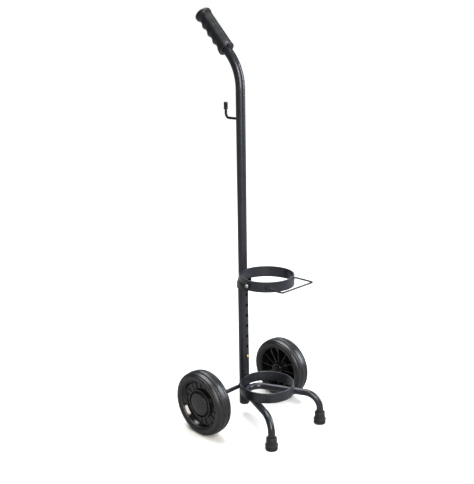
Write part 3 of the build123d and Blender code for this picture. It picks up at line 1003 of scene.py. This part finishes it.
@dataclass
class Foot:
    """The rubber tip on a leg."""

    shop: Workshop
    side: Side
    sleeve_radius: float = 11.8 * MM
    tube_radius: float = 8.0 * MM
    ridge_height: float = 12.0 * MM
    ridge_width: float = 2.5 * MM

    def build(self) -> bpy.types.Object:
        """The tip, with a base, a ridge and a sleeve that tapers to its mouth.

        Returns:
            The tip.
        """
        node = self.side.named("foot_tip")
        span = Span.of(node)
        ridge, top = span.size.x / 2, span.size.z
        base = ridge - 0.6 * MM
        mouth = self.tube_radius + 0.05 * MM
        corners = [
            Corner(0.9 * MM, 0.0),
            Corner(0.9 * MM, 0.45 * base, 0.5 * MM),
            Corner(0.0, 0.52 * base, 0.4 * MM),
            Corner(0.0, base - 0.6 * MM, 1.0 * MM),
            Corner(3.0 * MM, base, 1.0 * MM),
            Corner(self.ridge_height - self.ridge_width - 1.0 * MM, base - 0.3 * MM, 0.3 * MM),
            Corner(self.ridge_height - self.ridge_width - 0.6 * MM, base - 1.3 * MM, 0.3 * MM),
            Corner(self.ridge_height - self.ridge_width, base - 1.3 * MM, 0.3 * MM),
            Corner(self.ridge_height - self.ridge_width + 0.3 * MM, ridge, 0.5 * MM),
            Corner(self.ridge_height, ridge, 0.8 * MM),
            Corner(self.ridge_height + 0.5 * MM, self.sleeve_radius + 0.5 * MM, 0.6 * MM),
            Corner(top - 6.0 * MM, self.sleeve_radius + 0.1 * MM, 2.0 * MM),
            Corner(top - 1.6 * MM, self.sleeve_radius + 0.35 * MM, 0.7 * MM),
            Corner(top, self.sleeve_radius - 0.7 * MM, 0.8 * MM),
            Corner(top, mouth, 0.5 * MM),
            Corner(top - 3.0 * MM, mouth, 0.3 * MM),
            Corner(top - 3.0 * MM, 0.0),
        ]
        mesh = self.shop.turned(corners, TIP_RUBBER, 96)
        placed(mesh, Matrix.Translation((span.middle.x, span.middle.y, span.low.z)))
        return self.shop.piece(self.side.named("foot_rubber"), [mesh], "frame", TIP_RUBBER, [node])


@dataclass
class Bracket:
    """The upper ring's bracket and the two hexagonal bolts that hold the ring."""

    shop: Workshop
    head_across: float = 8.0 * MM
    shank_radius: float = 2.5 * MM
    head_height: float = 3.5 * MM
    shank_cover: float = 1.2 * MM

    def hexagon(self, point: Vector) -> Vector:
        """Cuts a round head back to a hexagon.

        Args:
            point: A point of the round head, about Z.

        Returns:
            The point, moved inwards where the hexagon is narrower.
        """
        reach = math.hypot(point.x, point.y)
        if reach < self.shank_radius * 1.05:
            return point
        sixth = math.tau / 6
        turn = (math.atan2(point.y, point.x) % sixth) - sixth / 2
        limit = self.head_across / 2 / math.cos(turn)
        share = min(1.0, limit / reach)
        return Vector((point.x * share, point.y * share, point.z))

    def bolt(self, side: Side) -> bpy.types.Object:
        """A bolt with a chamfered head and a washer face.

        Args:
            side: The side that it is on.

        Returns:
            The bolt.
        """
        node = side.named("bracket_bolt")
        span = Span.of(node)
        inner, outer = sorted((abs(span.low.x), abs(span.high.x)))
        inner += self.shank_cover
        head = self.head_height
        corner_radius = self.head_across / math.sqrt(3)
        chamfer = [
            Corner(outer - step * 0.3 * MM, 0.47 * self.head_across + step * 0.27 * MM) for step in range(5)
        ]
        corners = [
            Corner(outer - 0.5 * MM, 0.0),
            Corner(outer - 0.5 * MM, 0.26 * self.head_across, 0.2 * MM),
            Corner(outer, 0.36 * self.head_across, 0.2 * MM),
            *chamfer,
            Corner(outer - 1.4 * MM, corner_radius),
            Corner(outer - head + 0.5 * MM, corner_radius, 0.1 * MM),
            Corner(outer - head + 0.4 * MM, 0.46 * self.head_across, 0.1 * MM),
            Corner(outer - head, 0.46 * self.head_across, 0.1 * MM),
            Corner(outer - head, self.shank_radius, 0.1 * MM),
            Corner(inner, self.shank_radius, 0.3 * MM),
            Corner(inner, 0.0),
        ]
        mesh = reshaped(self.shop.turned(corners, ZINC, 96), self.hexagon)
        placed(mesh, along_axle(Vector((0, span.middle.y, span.middle.z)), side))
        return self.shop.piece(side.named("hex_bolt"), [mesh], "frame", ZINC, [node])

    def build(self) -> None:
        """Makes the bracket and its bolts."""
        strap = self.shop.softened("ring_bracket", BRACKET_COAT, 0.35 * MM)
        self.shop.piece("bracket_strap", [strap], "frame", BRACKET_COAT, ["ring_bracket"])
        for side in Side:
            self.bolt(side)


@dataclass
class Welds:
    """The weld beads of the frame."""

    shop: Workshop
    bead_radius: float = 1.5 * MM
    tube_radius: float = 12.0 * MM

    def round_axle(self, side: Side) -> bpy.types.Mesh:
        """The bead where the axle goes into the pole on one side.

        Args:
            side: The side.

        Returns:
            The bead.
        """
        axle = Span.of("axle")
        reach = axle.size.z / 2 + 0.6 * self.bead_radius
        points = []
        for step in range(32):
            angle = math.tau * step / 32
            y = reach * math.cos(angle)
            x = side.value * (math.sqrt(self.tube_radius ** 2 - y ** 2) + 0.3 * self.bead_radius)
            points.append((x, axle.middle.y + y, axle.middle.z + reach * math.sin(angle)))
        return self.shop.weld(points, self.bead_radius, 3 + side.value, closed=True)

    def seam(self, side: Side) -> bpy.types.Mesh:
        """The bead down the seam between the lower ring and the pole on one side.

        Args:
            side: The side.

        Returns:
            The bead.
        """
        bead, ring, tube = Span.of("seam_welds"), Span.of("lower_ring"), Span.of("base_tube")
        x = side.value * 3.6 * MM
        ring_radius = ring.size.x / 2
        gap = tube.middle.y - math.sqrt(self.tube_radius ** 2 - x ** 2)
        wall = ring.middle.y + math.sqrt(ring_radius ** 2 - x ** 2)
        y = (gap + wall) / 2
        low, high = bead.low.z + self.bead_radius, bead.high.z - self.bead_radius
        return self.shop.weld([(x, y, low), (x, y, high)], self.bead_radius * 1.1, 11 + side.value)

    def arch(self, side: Side) -> bpy.types.Mesh:
        """The bead beside the legs' arch, where it meets the pole.

        Args:
            side: The side.

        Returns:
            The bead.
        """
        span, tube = Span.of("arch_weld"), Span.of("base_tube")
        points = []
        for step in range(-6, 7):
            z = span.middle.z + step / 6 * 4.5 * MM
            x = side.value * (4.4 * MM - abs(step) / 6 * 1.4 * MM)
            y = tube.middle.y - math.sqrt(self.tube_radius ** 2 - x ** 2) - 0.5 * self.bead_radius
            points.append((x, y, z))
        return self.shop.weld(points, self.bead_radius, 21 + side.value)

    def under_ring(self, side: Side) -> bpy.types.Mesh:
        """The bead outside the lower ring, where it stands on a leg.

        Args:
            side: The side.

        Returns:
            The bead.
        """
        ring, bead = Span.of("lower_ring"), Span.of(side.named("ring_weld"))
        radius = ring.size.x / 2 + 0.3 * self.bead_radius
        middle = math.atan2(bead.middle.y - ring.middle.y, bead.middle.x - ring.middle.x)
        points = []
        for step in range(-6, 7):
            angle = middle + step / 6 * 3.4 * MM / radius
            z = ring.low.z + 0.1 * MM - (step / 6) ** 2 * 0.9 * MM
            points.append((radius * math.cos(angle), ring.middle.y + radius * math.sin(angle), z))
        return self.shop.weld(points, self.bead_radius, 31 + side.value)

    def build(self) -> bpy.types.Object:
        """Lays every bead.

        Returns:
            The beads as one piece.
        """
        meshes = []
        for side in Side:
            meshes += [self.round_axle(side), self.seam(side), self.arch(side), self.under_ring(side)]
        replaced = ["axle_welds", "seam_welds", "arch_weld", "ring_weld_left", "ring_weld_right"]
        return self.shop.piece("weld_beads", meshes, "frame", FRAME_COAT, replaced)


# ---- Handle ----


@dataclass
class Grip:
    """The hand grip: a sleeve with four finger grooves underneath and fine flutes on top.

    The CAD grip's flange radius places it, and its own end radius is a little smaller.
    """

    shop: Workshop
    tilt: float = math.radians(44)
    length: float = 108 * MM
    radius: float = 17.5 * MM
    lip_radius: float = 18.2 * MM
    lip_length: float = 6 * MM
    flange_radius: float = 19.5 * MM
    end_radius: float = 18.9 * MM
    flange_length: float = 8 * MM
    pole_radius: float = 10.5 * MM
    finger_count: int = 4
    finger_pitch: float = 22.6 * MM
    finger_first: float = 20.5 * MM
    finger_radius: float = 17 * MM
    finger_depth: float = 3.6 * MM
    finger_shift: float = 2.2 * MM
    flute_count: int = 11
    flute_pitch: float = math.radians(9)
    flute_depth: float = 0.45 * MM

    def finger_limit(self, height: float) -> float:
        """The radius of the finger grooves, whose rings stand a little off the grip's middle line.

        Args:
            height: The place along the grip.

        Returns:
            The radius there, from the rings' own middle line.
        """
        last = self.finger_count - 1
        index = min(last, max(0, round((height - self.finger_first) / self.finger_pitch)))
        offset = height - self.finger_first - index * self.finger_pitch
        if abs(offset) >= self.finger_radius:
            return 2 * self.radius
        middle = self.radius - self.finger_depth + self.finger_shift + self.finger_radius
        return middle - math.sqrt(self.finger_radius ** 2 - offset ** 2)

    def fluted(self, point: Vector) -> Vector:
        """Presses the finger grooves and the flutes into a plain round grip.

        Args:
            point: A point of the plain grip, about Z, with the fingers on +Y.

        Returns:
            The point on the finished grip.
        """
        reach = math.hypot(point.x, point.y)
        if reach < self.pole_radius + 2 * MM or point.z > self.length - self.flange_length:
            return point
        limit = self.finger_limit(point.z)
        wide = math.hypot(point.x, point.y + self.finger_shift)
        soft = 0.5 * MM
        gap = wide - limit
        if gap > -4 * soft:
            share = 1 - (gap + math.hypot(gap, soft)) / 2 / wide
            point.x *= share
            point.y = (point.y + self.finger_shift) * share - self.finger_shift
        turn = math.atan2(point.x, -point.y)
        half = self.flute_count * self.flute_pitch / 2
        low, high = self.lip_length + 2 * MM, self.length - self.flange_length - 4 * MM
        if abs(turn) < half and low < point.z < high:
            ends = min(point.z - low, high - point.z)
            fade = min(1.0, ends / (3 * MM)) * min(1.0, (half - abs(turn)) / self.flute_pitch)
            wave = 0.5 - 0.5 * math.cos(math.tau * (turn + half) / self.flute_pitch)
            share = 1 - self.flute_depth * wave * fade / reach
            point.x *= share
            point.y *= share
        return point

    def build(self) -> bpy.types.Object:
        """The grip, leant over to the rear.

        Returns:
            The grip.
        """
        mouth = self.pole_radius + 0.05 * MM
        flange = self.length - self.flange_length
        shaft_start, shaft_end, steps = self.lip_length + 1.2 * MM, flange - 4 * MM, 110
        shaft_length = shaft_end - shaft_start
        shaft = [
            Corner(shaft_start + shaft_length * step / steps, self.radius) for step in range(steps + 1)
        ]
        corners = [
            Corner(4 * MM, 0.0),
            Corner(4 * MM, mouth, 0.3 * MM),
            Corner(0.0, mouth, 0.5 * MM),
            Corner(0.0, self.lip_radius - 0.4 * MM, 1.2 * MM),
            Corner(0.45 * self.lip_length, self.lip_radius, 0.5 * MM),
            Corner(0.55 * self.lip_length, self.radius + 0.4 * MM, 0.4 * MM),
            Corner(0.7 * self.lip_length, self.radius + 0.4 * MM, 0.4 * MM),
            Corner(0.8 * self.lip_length, self.lip_radius - 0.1 * MM, 0.5 * MM),
            Corner(self.lip_length, self.lip_radius - 0.5 * MM, 0.5 * MM),
            *shaft,
            Corner(flange + 0.5 * MM, self.end_radius, 2.5 * MM),
            Corner(self.length, self.end_radius, 3.6 * MM),
            Corner(self.length, 0.0),
        ]
        mesh = reshaped(self.shop.turned(corners, GRIP_PLASTIC, 240), self.fluted)
        span = Span.of("hand_grip")
        lowest = (self.lip_radius - 1.0 * MM) * math.sin(self.tilt)
        foot = Vector((0.0, 0.0, span.low.z + lowest))
        rear = self.length * math.sin(self.tilt) + self.flange_radius * math.cos(self.tilt)
        foot.y = span.high.y - rear + self.end_rounding_reach()
        place = Matrix.Translation(foot) @ Matrix.Rotation(-self.tilt, 4, "X")
        placed(mesh, place)
        return self.shop.piece("grip_sleeve", [mesh], "handle", GRIP_PLASTIC, ["hand_grip"])

    def end_rounding_reach(self) -> float:
        """How much less far the grip reaches to the rear for the rounding of its end."""
        return 3 * MM * (math.sin(self.tilt) + math.cos(self.tilt) - 1)


@dataclass
class Pole:
    """The two-part pole with its hook, its snap button and its hidden fittings."""

    shop: Workshop
    hook_wire_radius: float = 3.0 * MM

    def hook_cap(self) -> bpy.types.Object:
        """The vinyl cap on the hook, with a domed end and a rolled mouth.

        Returns:
            The cap.
        """
        span = Span.of("hook_cap")
        height, radius = span.size.z, span.size.x / 2
        corners = [
            Corner(2 * MM, 0.0),
            Corner(2 * MM, self.hook_wire_radius, 0.2 * MM),
            Corner(0.0, self.hook_wire_radius, 0.3 * MM),
            Corner(0.0, radius, 0.8 * MM),
            Corner(2.2 * MM, radius, 0.6 * MM),
            Corner(3.2 * MM, radius - 0.45 * MM, 0.6 * MM),
            Corner(height, radius - 0.45 * MM, 3.4 * MM),
            Corner(height, 0.0),
        ]
        mesh = self.shop.turned(corners, HOOK_VINYL, 72)
        placed(mesh, Matrix.Translation((span.middle.x, span.middle.y, span.low.z)))
        return self.shop.piece("hook_cap_vinyl", [mesh], "handle", HOOK_VINYL, ["hook_cap"])

    def button(self) -> bpy.types.Object:
        """The snap button, with a rounded nose and a flange inside the pole.

        Returns:
            The button.
        """
        span = Span.of("snap_button")
        length = span.size.y
        corners = [
            Corner(0.0, 0.0),
            Corner(0.0, 4.6 * MM, 0.2 * MM),
            Corner(1.2 * MM, 4.6 * MM, 0.2 * MM),
            Corner(1.2 * MM, 3.5 * MM, 0.1 * MM),
            Corner(length - 0.2 * MM, 3.5 * MM, 1.8 * MM),
            Corner(length, 0.0),
        ]
        mesh = self.shop.turned(corners, BRASS, 64)
        place = Matrix.Translation((0, span.high.y, span.middle.z)) @ Matrix.Rotation(math.pi / 2, 4, "X")
        return self.shop.piece("button_brass", [placed(mesh, place)], "button", BRASS, ["snap_button"])

    def build(self) -> None:
        """Dresses the tubes and makes what they carry."""
        self.shop.dress(["base_tube"], FRAME_COAT)
        self.shop.dress(["upper_pole"], POLE_COAT)
        self.shop.dress(["hook_rod"], WIRE_COAT)
        self.shop.dress(["base_plug", "guide_bush"], PLUG_PLASTIC)
        self.shop.dress(["pole_glide"], NYLON)
        self.shop.dress(["button_spring"], SPRING_STEEL)
        self.hook_cap()
        self.button()
        Grip(self.shop).build()


# ---- Studio ----


@dataclass(frozen=True)
class Studio:
    """The floor, the light and the camera."""

    camera_place: tuple[float, float, float] = (-1.22559, -1.18124, 0.88574)
    camera_yaw: float = math.radians(-45.0285)
    camera_pitch: float = math.radians(14.9596)
    camera_roll: float = math.radians(-0.8904)
    lens: float = 58.157
    surround: float = 0.10
    floor_white: float = 0.93
    floor_dark: float = 0.30
    floor_reach: float = 90.0
    sun_power: float = 3.5
    sun_spread: float = math.radians(50)
    sun_turn: tuple[float, float] = (math.radians(-12), math.radians(8))

    def camera(self) -> None:
        """Sets the camera up."""
        yaw, pitch, roll = self.camera_yaw, self.camera_pitch, self.camera_roll
        right = Vector((math.cos(yaw), math.sin(yaw), 0.0))
        level = math.cos(pitch)
        back = Vector((math.sin(yaw) * level, -math.cos(yaw) * level, math.sin(pitch)))
        up = back.cross(right)
        across = right * math.cos(roll) + up * math.sin(roll)
        above = up * math.cos(roll) - right * math.sin(roll)
        data = bpy.data.cameras.new("camera")
        data.lens = self.lens
        data.sensor_width = 36.0
        data.clip_end = 200.0
        camera = bpy.data.objects.new("camera", data)
        turn = Matrix((across, above, back)).transposed().to_4x4()
        camera.matrix_world = Matrix.Translation(self.camera_place) @ turn
        bpy.context.scene.collection.objects.link(camera)
        bpy.context.scene.camera = camera

    def softbox(self, name: str, place: Vector, size: tuple[float, float], power: float,
                colour: Colour) -> None:
        """Hangs a rectangular light.

        Args:
            name: Its name.
            place: Where it hangs.
            size: Its width and height.
            power: Its power in watts.
            colour: Its colour.
        """
        aim = Vector((0.0, 0.0, 0.4))
        data = bpy.data.lights.new(name, "AREA")
        data.shape = "RECTANGLE"
        data.size, data.size_y = size
        data.energy = power
        data.color = colour
        light = bpy.data.objects.new(name, data)
        turn = (place - aim).to_track_quat("Z", "Y").to_matrix().to_4x4()
        light.matrix_world = Matrix.Translation(place) @ turn
        bpy.context.scene.collection.objects.link(light)

    def lights(self) -> None:
        """Hangs the lights and lights the surroundings."""
        world = bpy.data.worlds.new("studio")
        world.use_nodes = True
        sky = Graph(world.node_tree)
        background = sky.tree.nodes["Background"]
        sky.fill(background.inputs["Strength"], sky.if_seen(self.surround, 1.0))
        background.inputs["Color"].default_value = (1.0, 1.0, 1.0, 1.0)
        bpy.context.scene.world = world
        sun = bpy.data.lights.new("overhead", "SUN")
        sun.energy = self.sun_power
        sun.angle = self.sun_spread
        light = bpy.data.objects.new("overhead", sun)
        about_x, about_y = self.sun_turn
        light.matrix_world = Matrix.Rotation(about_x, 4, "X") @ Matrix.Rotation(about_y, 4, "Y")
        bpy.context.scene.collection.objects.link(light)
        self.softbox("key", Vector((-1.35, -2.15, 1.7)), (0.75, 2.2), 95.0, (1.0, 0.94, 0.84))
        self.softbox("fill", Vector((1.9, -1.5, 1.5)), (0.55, 2.0), 62.0, (0.84, 0.92, 1.0))
        self.softbox("back", Vector((1.5, 1.6, 1.8)), (0.9, 1.8), 12.0, (0.9, 0.95, 1.0))

    def floor(self) -> None:
        """Lays a wide pale floor."""
        reach = self.floor_reach
        mesh = bpy.data.meshes.new("floor")
        corners = [(-reach, -reach, 0.0), (reach, -reach, 0.0), (reach, reach, 0.0), (-reach, reach, 0.0)]
        mesh.from_pydata(corners, [], [(0, 1, 2, 3)])
        paper = bpy.data.materials.new("studio paper")
        paper.use_nodes = True
        graph = Graph(paper.node_tree)
        shader = graph.tree.nodes["Principled BSDF"]
        graph.fill(shader.inputs["Base Color"], graph.if_seen(self.floor_dark, self.floor_white))
        shader.inputs["Roughness"].default_value = 0.9
        shader.inputs["Specular IOR Level"].default_value = 0.1
        mesh.materials.append(paper)
        floor = bpy.data.objects.new("floor", mesh)
        bpy.context.scene.collection.objects.link(floor)

    def build(self) -> None:
        """Sets the whole studio up."""
        bpy.context.scene.view_settings.view_transform = "Standard"
        self.camera()
        self.lights()
        self.floor()


# ---- The whole cart ----


def main() -> None:
    """Builds the studio and the cart."""
    logging.basicConfig(level=logging.INFO, format="%(name)s: %(message)s")
    Studio().build()
    shop = Workshop()
    for side in Side:
        Wheel(shop, side).build()
        Foot(shop, side).build()
    for node in ("lower_ring", "upper_ring"):
        CylinderRing(shop, node).build()
    Bracket(shop).build()
    Welds(shop).build()
    Pole(shop).build()
    shop.dress(["leg_tube"], FRAME_COAT)
    shop.dress(["axle"], AXLE_COAT)
    shop.dress(["bail_wire"], WIRE_COAT)
    for side in Side:
        shop.dress([side.named(node) for node in ("axle_stop", "inner_washer")], BLACK_ZINC)
        shop.dress([side.named(node) for node in ("foot_washer", "outer_washer", "push_nut")], ZINC)


if __name__ == "__main__":
    main()
